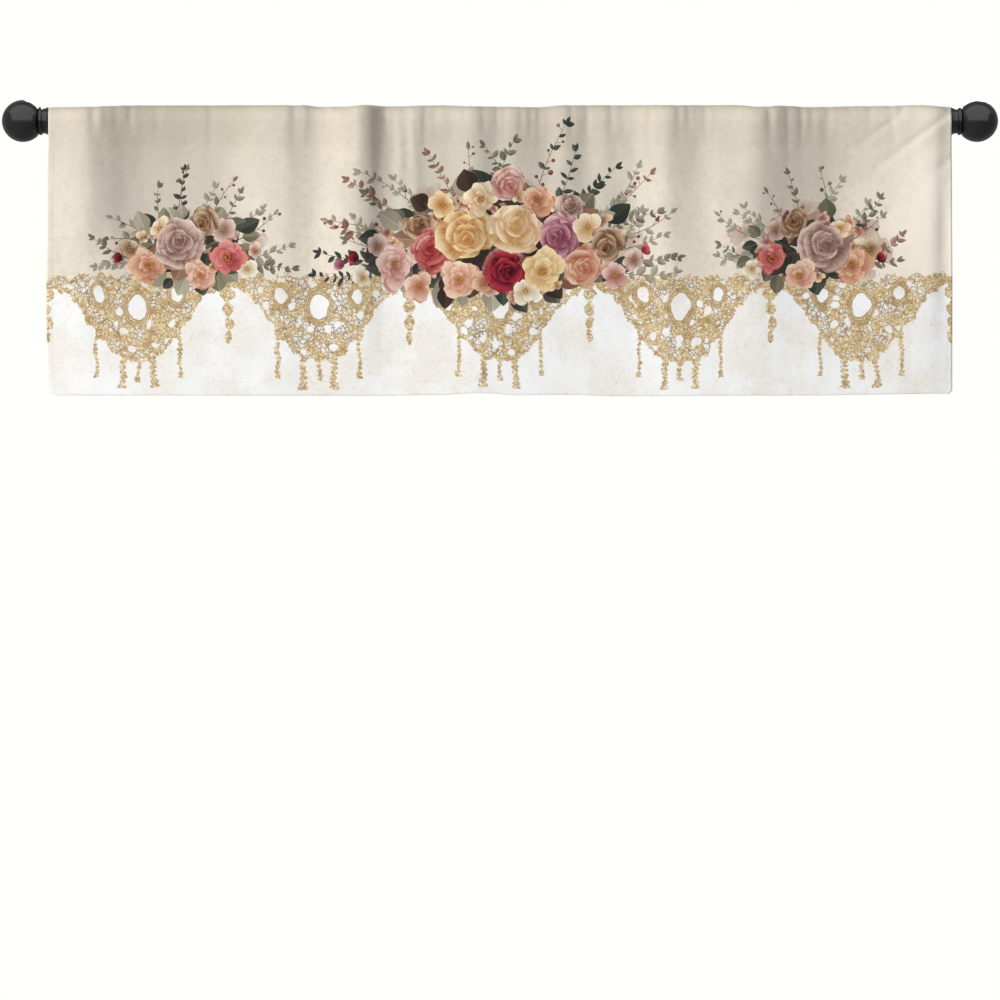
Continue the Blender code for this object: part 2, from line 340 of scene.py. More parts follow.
# A fine crease: its place at the top of the pocket, half width, height (under 0 for a trough), how far
# it runs down from there, and its sideways lean for each metre down.
CREASES = (
    (-0.618, 0.0050, -0.0012, 0.030, 0.00), (-0.606, 0.0040, 0.0009, 0.025, 0.00),
    (-0.584, 0.0050, -0.0007, 0.026, 0.00), (-0.562, 0.0040, -0.0012, 0.028, 0.02),
    (-0.522, 0.0050, -0.0008, 0.030, 0.00), (-0.440, 0.0060, -0.0009, 0.070, 0.00),
    (-0.313, 0.0050, -0.0010, 0.030, 0.00), (-0.296, 0.0050, 0.0008, 0.035, 0.00),
    (-0.264, 0.0040, -0.0006, 0.025, 0.00), (-0.243, 0.0040, 0.0005, 0.022, 0.00),
    (-0.175, 0.0050, -0.0010, 0.028, 0.00), (-0.150, 0.0045, -0.0012, 0.040, 0.03),
    (-0.121, 0.0045, 0.0010, 0.045, 0.00), (-0.098, 0.0050, -0.0007, 0.030, -0.04),
    (-0.054, 0.0040, -0.0006, 0.022, 0.00), (-0.026, 0.0045, -0.0009, 0.030, 0.00),
    (-0.004, 0.0040, -0.0012, 0.034, 0.00), (0.006, 0.0038, -0.0010, 0.030, 0.00),
    (0.032, 0.0040, -0.0010, 0.036, 0.00), (0.047, 0.0038, -0.0011, 0.030, 0.00),
    (0.059, 0.0040, -0.0011, 0.034, 0.00), (0.108, 0.0040, -0.0012, 0.045, 0.00),
    (0.133, 0.0045, -0.0010, 0.040, 0.00), (0.169, 0.0040, -0.0012, 0.030, 0.00),
    (0.188, 0.0050, -0.0009, 0.036, 0.00), (0.226, 0.0040, -0.0006, 0.060, 0.00),
    (0.271, 0.0045, -0.0010, 0.034, 0.00), (0.286, 0.0045, -0.0009, 0.030, 0.00),
    (0.312, 0.0040, -0.0010, 0.028, 0.00), (0.408, 0.0045, -0.0012, 0.036, 0.02),
    (0.420, 0.0040, 0.0008, 0.040, 0.00), (0.437, 0.0045, -0.0010, 0.060, 0.02),
    (0.458, 0.0040, -0.0014, 0.045, 0.00), (0.475, 0.0045, -0.0008, 0.036, 0.00),
    (0.499, 0.0055, -0.0009, 0.040, -0.06), (0.562, 0.0050, -0.0008, 0.036, 0.00),
    (0.594, 0.0055, -0.0009, 0.040, 0.10), (0.611, 0.0060, -0.0018, 0.055, -1.40),
    (0.683, 0.0075, -0.0020, 0.110, -1.35), (0.700, 0.0120, 0.0004, 0.120, -1.30),
    (0.760, 0.0070, -0.0016, 0.150, -1.10), (0.673, 0.0060, 0.0009, 0.160, 0.00),
    (-0.206, 0.0180, 0.0026, 0.110, 0.00), (0.422, 0.0110, 0.0008, 0.400, 0.00),
    (0.481, 0.0110, 0.0008, 0.400, 0.00),
)
CREASES_START = -0.010
OVER_THE_ROD = 0.010
TOP_CREASING = 0.35
TOP_SPREAD = 0.5
ROD_ROOM = 0.0006
LAP = 0.0016
LAP_REACH = 0.0020

# How far the top edge rises off the rod, and the hem above its lowest line, at places along them.
CROWN = (
    (-0.690, 0.0000), (-0.640, 0.0006), (-0.560, 0.0032), (-0.300, 0.0034), (-0.272, 0.0008),
    (-0.236, 0.0010), (-0.205, 0.0030), (-0.165, 0.0018), (-0.090, 0.0034), (-0.045, 0.0018),
    (0.060, 0.0007), (0.100, 0.0036), (0.360, 0.0036), (0.392, 0.0010), (0.434, 0.0026),
    (0.470, 0.0006), (0.560, 0.0022), (0.640, 0.0036), (0.690, 0.0006),
)
HEM_LIFTS = (
    (-0.690, 0.0012), (-0.200, 0.0006), (-0.090, 0.0020), (-0.038, 0.0046), (0.030, 0.0014),
    (0.100, 0.0022), (0.170, 0.0000), (0.480, 0.0010), (0.560, 0.0024), (0.690, 0.0040),
)
# Drop below the rod's axis, and how far the left and the right side lie from the middle there.
SIDES_LEFT = ((0.000, 0.6850), (0.120, 0.6874), (0.270, 0.6890), (0.430, 0.6880))
SIDES_RIGHT = ((0.000, 0.6850), (0.120, 0.6862), (0.270, 0.6872), (0.430, 0.6872))


def soft_share(share):
    """A share from 0 to 1 that starts and ends level."""
    return share * share * (3 - 2 * share)


def find_rows(known, places):
    """The row at or before each place, and the share of the way on to the next row."""
    at = np.clip(places, known[0], known[-1])
    row = np.clip(np.searchsorted(known, at, side="right") - 1, 0, len(known) - 2)
    return row, (at - known[row]) / (known[row + 1] - known[row])


def read_between(rows, places):
    """Read pairs of place and value at any places, with a soft step from one row to the next."""
    known, values = np.array(rows).T
    row, share = find_rows(known, places)
    share = soft_share(share)
    return values[row] * (1 - share) + values[row + 1] * share


def read_folds(known, values, places):
    """Read one column of the folds' table on a smooth curve, level on each ridge and in each valley."""
    rise = np.diff(values) / np.diff(known)
    both = rise[:-1] * rise[1:]
    slopes = np.zeros(len(known))
    np.divide(2 * both, rise[:-1] + rise[1:], out=slopes[1:-1], where=both > 0)
    row, share = find_rows(known, places)
    width = known[row + 1] - known[row]
    level = values[row] + (values[row + 1] - values[row]) * soft_share(share)
    leaving = slopes[row] * width * share * (1 - share) ** 2
    arriving = slopes[row + 1] * width * share ** 2 * (1 - share)
    return level + leaving - arriving


def standing_out(place, drop):
    """How far the folds and creases hold the cloth out towards the room."""
    known, *columns = np.array(RIDGES).T
    height, hem, reach = [read_folds(known, values, place) for values in columns]
    fade = np.exp(-(np.maximum(drop - SEAM_DROP, 0.0) / reach) ** 2)
    return hem + (height - hem) * fade + creasing(place, drop)


def creasing(place, drop):
    """How far the fine creases alone stand out."""
    down = np.maximum(drop - CREASES_START, 0.0)
    total = np.zeros_like(place)
    for top, half_width, height, reach, lean in CREASES:
        across = (place - top - lean * down) / half_width
        total += height * np.exp(-across ** 2 - (down / reach) ** 2)
    return total


def corner_inset(drop, radius):
    """How far a rounded bottom corner draws the side in."""
    into = np.clip(drop - HEM_DROP + radius, 0.0, radius)
    return radius - np.sqrt(radius ** 2 - into ** 2)


def place_along(across, drop):
    """Place along the rod of a flat place across the cloth."""
    share = (across + FLAT_HALF_WIDTH) / (2 * FLAT_HALF_WIDTH)
    left = read_between(SIDES_LEFT, drop) - corner_inset(drop, CORNER_RADIUS_LEFT)
    right = read_between(SIDES_RIGHT, drop) - corner_inset(drop, CORNER_RADIUS_RIGHT)
    return right * share - left * (1 - share)


SEAM_DISTANCE = SEAM_DROP / math.cos(SEAM_TURN)
TANGENT_ANGLE = math.acos(POCKET_RADIUS / SEAM_DISTANCE)


def pocket_distance(angle):
    """Distance of the pocket from the rod's axis, at an angle round it from the seam."""
    from_seam = np.minimum(angle, math.tau - angle)
    straight = np.maximum(TANGENT_ANGLE - from_seam, 0.0)
    return POCKET_RADIUS / np.cos(straight)


angles = np.linspace(0.0, math.tau, 721)
loop = pocket_distance(angles)
steps_along = np.hypot(np.diff(loop * np.sin(angles)), np.diff(loop * np.cos(angles)))
walked = np.concatenate(([0.0], np.cumsum(steps_along)))
POCKET_GIRTH = float(walked[-1])


def soft_floor(height):
    """Keep folds off the rod: a height under 0 comes softly back to 0."""
    return (height + np.sqrt(height ** 2 + 4 * ROD_ROOM ** 2)) / 2


def panel_shape(across, up):
    """Points and wrong-side directions of the hanging panel, up from the hem's fold line."""
    lift = read_between(HEM_LIFTS, place_along(across, SEAM_DROP))
    drop = SEAM_DROP + (PANEL_LENGTH - lift) * (1 - up / PANEL_LENGTH)
    nominal = HEM_DROP - np.maximum(up, 0.0)
    place = place_along(across, nominal)
    y = -SEAM_DISTANCE * math.sin(SEAM_TURN) - soft_floor(standing_out(place, drop))
    points = np.stack((place, y, -drop), axis=1)
    wrong_side = np.zeros_like(points)
    wrong_side[:, 1] = 1.0
    return points, wrong_side


def pocket_shape(across, along):
    """The same for the pocket, along from the seam up the front, over the rod and down the back."""
    angle = math.tau - np.interp(along, walked, angles)
    distance = pocket_distance(angle)
    y = distance * np.sin(angle - SEAM_TURN)
    z = -distance * np.cos(angle - SEAM_TURN)
    place = place_along(across, np.maximum(-z, 0.0))
    none = np.zeros_like(place)
    in_front = soft_share(np.clip(-y / OVER_THE_ROD, 0.0, 1.0))
    near_top = np.exp(-(np.arctan2(y, z) / TOP_SPREAD) ** 2)
    crown = read_between(CROWN, place) + TOP_CREASING * near_top * creasing(place, none)
    y = y - in_front * soft_floor(standing_out(place, -z))
    z = np.where(z > 0, z * (1 + np.maximum(crown, 0.0) / POCKET_RADIUS), z)
    facing = np.clip(angle, TANGENT_ANGLE, math.tau - TANGENT_ANGLE) - SEAM_TURN
    wrong_side = np.stack((none, -np.sin(facing), np.cos(facing)), axis=1)
    return np.stack((place, y, z), axis=1), wrong_side


def turned_edge(beyond, radius):
    """A turned hem: how far a point still goes on past the fold, how far it comes back, its step away."""
    around = np.clip(beyond / radius, 0.0, math.pi)
    back = np.maximum(beyond - math.pi * radius, 0.0)
    return radius * np.sin(around), back, radius * (1 - np.cos(around))


def drape(across, up):
    """The hanging place of points of the flat cloth: across it, and up from the hem's fold line."""
    side = np.sign(across)
    past, back, step_side = turned_edge(np.maximum(abs(across) - FLAT_HALF_WIDTH, 0.0), SIDE_HEM_ROUND)
    inside = side * (np.minimum(abs(across), FLAT_HALF_WIDTH) - back)
    below, up_again, step_hem = turned_edge(np.maximum(-up, 0.0), BOTTOM_HEM_ROUND)
    height = np.where(up < 0, up_again, up)
    along = np.clip(height - PANEL_LENGTH, 0.0, POCKET_GIRTH)
    under = np.maximum(height - PANEL_LENGTH - POCKET_GIRTH, 0.0)
    panel_height = np.where(under > 0, PANEL_LENGTH - under, np.minimum(height, PANEL_LENGTH))
    points, wrong_side = panel_shape(inside, panel_height)
    pocket_points, pocket_wrong = pocket_shape(inside, along)
    in_pocket = ((height > PANEL_LENGTH) & (under == 0))[:, None]
    points = np.where(in_pocket, pocket_points, points)
    wrong_side = np.where(in_pocket, pocket_wrong, wrong_side)
    lapped = LAP * np.clip(under / LAP_REACH, 0.0, 1.0)
    points = points + wrong_side * (step_side + step_hem + lapped)[:, None]
    points[:, 0] += side * past
    points[:, 2] -= below
    return points


# Valance, its printed sprays
# A generic printed design of roses, small blossoms, leaves and berries, drawn flower by flower. Each
# petal is its own closed outline, and the uppermost outline wins where they lie over each other.

draw = random.Random(27)
vary = draw.uniform
shapes = []
Shape = namedtuple("Shape", "kind ink rim root along across shaded")
Ink = namedtuple("Ink", "light deep")
# Each ink as it prints at its lightest and at its deepest, in screen colours.
INK_COLOURS = {
    "cream": ((250, 234, 204), (190, 140, 84)),
    "butter": ((244, 220, 172), (176, 118, 58)),
    "peach": ((240, 204, 180), (170, 96, 68)),
    "apricot": ((236, 188, 156), (150, 78, 54)),
    "blush": ((240, 204, 192), (150, 84, 76)),
    "dusty": ((226, 198, 184), (122, 86, 76)),
    "mauve": ((224, 168, 176), (120, 54, 74)),
    "coral": ((228, 138, 130), (138, 34, 44)),
    "crimson": ((200, 62, 80), (60, 8, 20)),
    "tan": ((216, 186, 152), (104, 68, 46)),
    "white": ((249, 242, 226), (186, 158, 116)),
    "leaf": ((156, 152, 126), (84, 84, 66)),
    "dark leaf": ((94, 98, 86), (34, 40, 38)),
    "grey leaf": ((190, 184, 164), (134, 128, 110)),
    "brown leaf": ((184, 152, 128), (112, 76, 62)),
    "shadow": ((92, 76, 64), (44, 34, 30)),
    "faded": ((222, 206, 192), (186, 164, 148)),
    "berry": ((172, 104, 92), (92, 40, 42)),
    "stem": ((124, 104, 82), (76, 58, 46)),
    "gold": ((222, 176, 92), (128, 78, 30)),
}
INKS = {name: Ink(to_linear(*light), to_linear(*deep)) for name, (light, deep) in INK_COLOURS.items()}
PETAL, LEAF, BEAD, STALK = 1, 2, 3, 4
PETAL_BROADEST, PETAL_ROUND = 1.30, 0.52
LEAF_BROADEST, LEAF_ROUND = 0.86, 0.88


def between(first, second, share):
    """A colour between two, by share."""
    return tuple(a + (b - a) * share for a, b in zip(first, second))


def towards(angle):
    """One metre in a direction on the flat cloth."""
    return Vector((math.cos(angle), math.sin(angle)))


def spoke(k, count, jitter):
    """Direction of one of a round of petals or leaves, a little off its even place."""
    return math.tau * (k + vary(-jitter, jitter)) / count


def in_oval(middle, angle, spread_x, spread_y, away):
    """A place in an oval, at an angle and at a share of the way out to its rim."""
    return Vector(middle) + Vector((math.cos(angle) * spread_x, math.sin(angle) * spread_y)) * away


def tinted(name, share):
    """An ink whose light colour is drawn towards its deep one, or towards white where share is under 0."""
    light, deep = INKS[name]
    light_goal = deep if share > 0 else INKS["white"].light
    deep_goal = deep if share > 0 else light
    return Ink(between(light, light_goal, abs(share)), between(deep, deep_goal, abs(share) / 2))


def outline_width(kind, share):
    """Half width of a petal or a leaf, as a share of its widest, at a share of its length."""
    broadest, roundness = (LEAF_BROADEST, LEAF_ROUND) if kind == LEAF else (PETAL_BROADEST, PETAL_ROUND)
    return max(math.sin(math.pi * share ** broadest), 0.0) ** roundness


def add_blade(kind, ink, root, direction, length, half_width, shaded=0.0, points=5, ragged=0.06):
    """One petal or leaf from its root, printed over what is there, with a ragged rim."""
    along = towards(direction) * length
    across = Vector((-along.y, along.x)).normalized() * half_width
    shares = [(1 - math.cos(math.pi * step / points)) / 2 for step in range(points + 1)]
    rims = []
    for side in (-1, 1):
        rim = []
        for share in shares:
            width = outline_width(kind, share) * (1 + vary(-ragged, ragged))
            reach = share * (1 + vary(-ragged, ragged) / 2)
            rim.append(root + along * reach + across * side * width)
        rims.append(rim)
    rim = rims[0] + rims[1][-2:0:-1]
    shapes.append(Shape(kind, ink, rim, root, along, across, shaded))


def add_bead(ink, middle, radius, sides=8):
    """One berry or stamen, round and lit from above."""
    rim = [middle + towards(math.tau * k / sides) * radius for k in range(sides)]
    root = middle - Vector((0.0, radius))
    shapes.append(Shape(BEAD, ink, rim, root, Vector((0.0, 2 * radius)), Vector((radius, 0.0)), 0.0))


def add_stalk(ink, path, thickness):
    """A thin stem along a path."""
    left, right = [], []
    for k, point in enumerate(path):
        ahead = path[min(k + 1, len(path) - 1)] - path[max(k - 1, 0)]
        normal = Vector((-ahead.y, ahead.x)).normalized()
        half = thickness / 2 * (1 - 0.6 * k / (len(path) - 1))
        left.append(point + normal * half)
        right.append(point - normal * half)
    reach = path[-1] - path[0]
    shapes.append(Shape(STALK, ink, right + left[::-1], path[0], reach, reach.orthogonal(), 0.0))


def petal_tint(direction, depth):
    """Petals that face down to the right, and those deeper in, are printed darker."""
    lit = math.cos(direction - math.radians(125))
    return 0.15 * depth - 0.20 * lit + vary(-0.22, 0.22)


def rose(ink, middle, radius, turn):
    """A full rose, from the outer petals in. The heart lies a little towards the way it faces."""
    heart = towards(turn) * radius * 0.30
    rings = (
        (1.00, 6, 1.30), (0.80, 5, 1.15), (0.62, 5, 1.10), (0.46, 4, 1.05), (0.32, 4, 1.00), (0.19, 3, 1.00),
    )
    start = vary(0, math.tau)
    for depth, (share, count, breadth) in enumerate(rings):
        inner = rings[depth + 1][0] if depth + 1 < len(rings) else 0.04
        start += vary(0.3, 0.9)
        order = list(range(count))
        draw.shuffle(order)
        for k in order:
            direction = start + spoke(k, count, 0.20)
            length = radius * share * vary(0.78, 1.20)
            half_width = length * math.sin(math.pi / count) * breadth * vary(0.86, 1.20)
            root = middle + heart * (1 - share)
            tint = tinted(ink, petal_tint(direction, depth))
            points = 8 if depth < 2 else 6
            add_blade(PETAL, tint, root, direction, length, half_width, inner / share * 0.72, points, 0.13)


def loose_rose(ink, middle, radius, turn):
    """An open, blown rose: two rounds of wide ragged petals about a gold eye."""
    heart = towards(turn) * radius * 0.16
    for depth, (share, count) in enumerate(((1.0, 7), (0.72, 6), (0.46, 5))):
        start = vary(0, math.tau)
        for k in range(count):
            direction = start + spoke(k, count, 0.20)
            length = radius * share * vary(0.74, 1.22)
            root = middle + heart * (1 - share)
            tint = tinted(ink, petal_tint(direction, depth))
            add_blade(PETAL, tint, root, direction, length, length * 0.44, 0.22, 8, 0.17)
    eye(middle + heart * 0.6, radius * 0.9)


def tilt(first, middle, direction, squash):
    """Turn a flower partly aside: its outlines, from the first on, are narrowed in one direction."""
    aside = towards(direction)

    def seen(vector):
        return vector - aside * vector.dot(aside) * (1 - squash)

    for number in range(first, len(shapes)):
        shape = shapes[number]
        rim = [middle + seen(point - middle) for point in shape.rim]
        root = middle + seen(shape.root - middle)
        along, across = seen(shape.along), seen(shape.across)
        shapes[number] = shape._replace(rim=rim, root=root, along=along, across=across)


def eye(middle, radius):
    """The stamens in a flower's middle."""
    for k in range(7):
        turn = math.tau * k / 7 + vary(-0.3, 0.3)
        offset = towards(turn) * radius * vary(0.10, 0.20)
        add_bead(tinted("gold", vary(0, 0.4)), middle + offset, radius * 0.07, 6)


def blossom(ink, middle, radius, turn):
    """An open blossom of five or six petals with a gold eye."""
    petals = draw.choice((5, 5, 6))
    for k in range(petals):
        direction = turn + spoke(k, petals, 0.10)
        length = radius * vary(0.78, 1.18)
        tint = tinted(ink, petal_tint(direction, 0))
        add_blade(PETAL, tint, middle, direction, length, length * 0.50, 0.10, 7, 0.14)
    eye(middle, radius)


def bud(ink, middle, radius, direction):
    """A half-open bud on its sepals."""
    sepal = tinted("leaf", 0.1)
    for spread in (-0.55, 0.55):
        add_blade(LEAF, sepal, middle, direction + spread, radius * 1.1, radius * 0.28)
    for spread in (-0.35, 0.35, 0.0):
        tint = tinted(ink, 0.5 - spread + vary(-0.2, 0.1))
        add_blade(PETAL, tint, middle, direction + spread, radius * 1.5, radius * 0.5, 0.3)


def curved_path(start, direction, length, bend, steps):
    """A stem's path that leaves in one direction and bends evenly."""
    path = [Vector(start)]
    for step in range(steps):
        heading = direction + bend * (step + 0.5) / steps
        path.append(path[-1] + towards(heading) * length / steps)
    return path


def sprig(start, direction, length, bend, leaf_ink, leaf_length, berries=False):
    """A stem with uneven leaves on both sides, and some berries where it bears them."""
    steps = max(4, round(length / 0.011))
    path = curved_path(start, direction, length, bend, steps)
    add_stalk(tinted("stem", 0.2), path, 0.0015)
    side = draw.choice((-1, 1))
    for k in range(2, len(path)):
        ahead = path[k] - path[k - 1]
        heading = math.atan2(ahead.y, ahead.x)
        size = leaf_length * (1.15 - 0.55 * k / len(path)) * vary(0.6, 1.15)
        side = -side if draw.random() < 0.8 else side
        spread = side * vary(0.45, 1.15)
        if berries and draw.random() < 0.6:
            end = path[k] + towards(heading + spread) * size * 0.7
            add_stalk(tinted("stem", 0.3), [path[k], (path[k] + end) / 2, end], 0.0009)
            add_bead(tinted("berry", vary(-0.2, 0.5)), end, size * vary(0.13, 0.22))
        else:
            tint = tinted(leaf_ink, vary(-0.25, 0.5))
            add_blade(LEAF, tint, path[k], heading + spread, size, size * vary(0.20, 0.34))
            if draw.random() < 0.5:
                add_blade(LEAF, tint, path[k], heading - spread, size * 0.7, size * 0.18)
    add_blade(LEAF, tinted(leaf_ink, 0.2), path[-1], heading, leaf_length * 0.7, leaf_length * 0.16)


def foliage(middle, spread_x, spread_y, count, length, inks, breadth):
    """Loose leaves that point away from the middle of a spray."""
    for k in range(count):
        angle = spoke(k, count, 0.3)
        root = in_oval(middle, angle, spread_x, spread_y, vary(0.50, 1.0))
        size = length * vary(0.65, 1.25)
        heading = angle + vary(-0.6, 0.6)
        tint = tinted(draw.choice(inks), vary(-0.15, 0.6))
        add_blade(LEAF, tint, root, heading, size, size * breadth * vary(0.8, 1.2), 0.0, 12, 0.025)


def small_flowers(middle, spread_x, spread_y, count, inks, size):
    """Small blossoms round a spray or between its flowers, each turned partly aside."""
    for k in range(count):
        angle = spoke(k, count, 0.3)
        place = in_oval(middle, angle, spread_x, spread_y, vary(0.55, 1.0))
        first = len(shapes)
        for petal in range(5):
            length = size * vary(0.7, 1.25)
            heading = angle + petal * math.tau / 5 + vary(-0.3, 0.3)
            tint = tinted(draw.choice(inks), vary(-0.1, 0.4))
            add_blade(PETAL, tint, place, heading, length, length * 0.42, 0.15, 7, 0.16)
        tilt(first, place, vary(0, math.tau), vary(0.55, 0.95))


# The flowers of the middle spray and of one side posy: what each is, its ink, and its place and size.
MIDDLE_SPRAY = (
    (blossom, "white", -0.208, 0.178, 0.019), (blossom, "dusty", -0.186, 0.226, 0.021),
    (loose_rose, "blush", -0.158, 0.198, 0.034), (bud, "crimson", -0.214, 0.206, 0.013),
    (blossom, "peach", -0.124, 0.166, 0.024), (rose, "tan", -0.122, 0.256, 0.026),
    (blossom, "butter", -0.088, 0.290, 0.022), (rose, "coral", -0.102, 0.218, 0.034),
    (loose_rose, "peach", -0.062, 0.176, 0.034), (rose, "butter", -0.052, 0.244, 0.040),
    (blossom, "apricot", -0.022, 0.170, 0.022), (loose_rose, "cream", -0.030, 0.298, 0.028),
    (rose, "blush", 0.012, 0.320, 0.028), (rose, "crimson", 0.008, 0.190, 0.032),
    (rose, "cream", 0.024, 0.254, 0.044), (blossom, "white", 0.040, 0.158, 0.022),
    (loose_rose, "apricot", 0.058, 0.296, 0.026), (rose, "mauve", 0.090, 0.240, 0.038),
    (loose_rose, "butter", 0.066, 0.190, 0.032), (rose, "dusty", 0.108, 0.286, 0.022),
    (rose, "peach", 0.126, 0.196, 0.033), (blossom, "cream", 0.134, 0.256, 0.023),
    (rose, "tan", 0.164, 0.228, 0.026), (blossom, "blush", 0.176, 0.184, 0.024),
    (blossom, "dusty", 0.204, 0.206, 0.019), (bud, "coral", 0.216, 0.220, 0.012),
    (bud, "mauve", -0.236, 0.196, 0.012),
)
SIDE_POSY = (
    (blossom, "white", -0.086, 0.192, 0.018), (loose_rose, "coral", -0.058, 0.208, 0.031),
    (blossom, "tan", 0.092, 0.222, 0.019), (loose_rose, "apricot", 0.066, 0.196, 0.031),
    (blossom, "cream", 0.048, 0.254, 0.019), (blossom, "dusty", -0.050, 0.252, 0.020),
    (rose, "tan", -0.020, 0.262, 0.026), (rose, "dusty", 0.022, 0.228, 0.037),
    (loose_rose, "peach", -0.012, 0.182, 0.027), (bud, "crimson", 0.104, 0.206, 0.011),
)


def arrange(flowers, middle_x, way):
    """Print a list of flowers about a middle, or its mirror image where way is -1."""
    for kind, ink, x, up, size in flowers:
        place = Vector((middle_x + way * x, up))
        turn = vary(0, math.tau)
        if kind is bud:
            turn = 0.3 if way * x > 0 else math.pi - 0.3
        first = len(shapes)
        kind(ink, place, size, turn)
        tilt(first, place, turn, vary(0.76, 0.98))


def up_and_out(x, reach):
    """Direction of a stem that leans out more the further it starts from the middle."""
    return math.pi / 2 - 1.25 * x / reach + vary(-0.25, 0.25)


GREENS = ("leaf", "grey leaf", "leaf", "brown leaf", "grey leaf", "dark leaf")
DARK_GREENS = ("dark leaf", "leaf", "dark leaf", "grey leaf")
GAPS = ("shadow", "dark leaf", "brown leaf")
FADED = ("faded",)
FILLERS = ("blush", "peach", "cream", "dusty", "tan")
SPRAY_HALF_WIDTH = 0.22
POSY_HALF_WIDTH = 0.10
POSY_PLACE = 0.470

small_flowers((0.0, 0.236), SPRAY_HALF_WIDTH, 0.086, 18, FADED, 0.026)
for step in range(17):
    x = -SPRAY_HALF_WIDTH + 0.0275 * step + vary(-0.01, 0.01)
    tall = 0.078 + 0.088 * math.cos(x / SPRAY_HALF_WIDTH * 1.4) + vary(-0.030, 0.022)
    sprig((x * 0.8, 0.240), up_and_out(x, SPRAY_HALF_WIDTH), tall, vary(-0.7, 0.7),
          draw.choice(GREENS), 0.020, step % 3 == 1)
for side in (-1, 1):
    for step in range(4):
        rise = -0.30 + 0.26 * step
        direction = rise if side > 0 else math.pi - rise
        start = (side * 0.175, 0.190 + 0.014 * step)
        length = 0.105 - 0.014 * step + vary(-0.020, 0.012)
        sprig(start, direction, length, side * vary(0.1, 0.8), draw.choice(GREENS), 0.019, step == 2)
foliage((0.0, 0.228), 0.190, 0.076, 50, 0.038, DARK_GREENS, 0.40)
foliage((0.0, 0.232), 0.150, 0.080, 30, 0.034, GAPS, 0.40)
foliage((0.0, 0.228), 0.100, 0.044, 30, 0.040, GAPS, 0.50)
foliage((0.0, 0.234), 0.060, 0.024, 22, 0.050, GAPS, 0.55)
foliage((-0.026, 0.216), 0.012, 0.008, 9, 0.038, GAPS, 0.60)
small_flowers((0.0, 0.232), 0.190, 0.086, 26, FILLERS, 0.014)
arrange(MIDDLE_SPRAY, 0.0, 1)

for side in (-1, 1):
    middle = side * POSY_PLACE
    small_flowers((middle, 0.228), 0.118, 0.060, 11, FADED, 0.024)
    for step in range(10):
        x = -POSY_HALF_WIDTH + 0.022 * step + vary(-0.008, 0.008)
        tall = 0.054 + 0.046 * math.cos(x / POSY_HALF_WIDTH * 1.3) + vary(-0.016, 0.014)
        sprig((middle + x * 0.7, 0.236), up_and_out(x, 0.11), tall, vary(-0.7, 0.7),
              draw.choice(GREENS), 0.017, step % 3 == 0)
    for way in (-1, 1):
        for rise in (-0.25, 0.20):
            direction = rise if way > 0 else math.pi - rise
            length = 0.066 + vary(-0.014, 0.012)
            sprig((middle + way * 0.080, 0.205), direction, length, way * vary(0.1, 0.7),
                  draw.choice(GREENS), 0.018)
    foliage((middle, 0.222), 0.096, 0.048, 30, 0.030, DARK_GREENS, 0.40)
    foliage((middle, 0.222), 0.052, 0.028, 22, 0.028, GAPS, 0.42)
    foliage((middle, 0.222), 0.034, 0.016, 18, 0.038, GAPS, 0.46)
    foliage((middle - side * 0.022, 0.222), 0.012, 0.010, 9, 0.030, GAPS, 0.50)
    small_flowers((middle, 0.226), 0.100, 0.048, 13, FILLERS, 0.012)
    arrange(SIDE_POSY, middle, side)

# Valance, its cloth
# The outlines are cut into the flat cloth's mesh, so that each print edge is sharp at any distance.
# Then every point is moved to where it hangs, and the sheet gets its thickness and its wrong side.

SAME_PLACE = 1e-7
SIDE_CLEARANCE = 0.002


def print_edges():
    """The print's visible edges, the uppermost outline of each face, and a finder of those faces."""
    points, faces = [], []
    for shape in shapes:
        faces.append(list(range(len(points), len(points) + len(shape.rim))))
        points.extend(shape.rim)
    verts, _, triangles, _, _, covers = delaunay_2d_cdt(points, [], faces, 0, SAME_PLACE, True)
    top = [max(found) if found else -1 for found in covers]
    owners = {}
    for triangle, owner in zip(triangles, top):
        for start, end in zip(triangle, triangle[1:] + triangle[:1]):
            owners.setdefault((min(start, end), max(start, end)), []).append(owner)
    edges = []
    for pair, found in owners.items():
        if max(found) >= 0 and (len(found) == 1 or found[0] != found[1]):
            edges.append(pair)
    finder = BVHTree.FromPolygons([(v.x, v.y, 0.0) for v in verts], triangles)
    return verts, edges, top, finder


def spaced(start, end, spacing):
    """Even places from start to end, no further apart than the spacing."""
    return list(np.linspace(start, end, max(math.ceil((end - start) / spacing), 1) + 1))


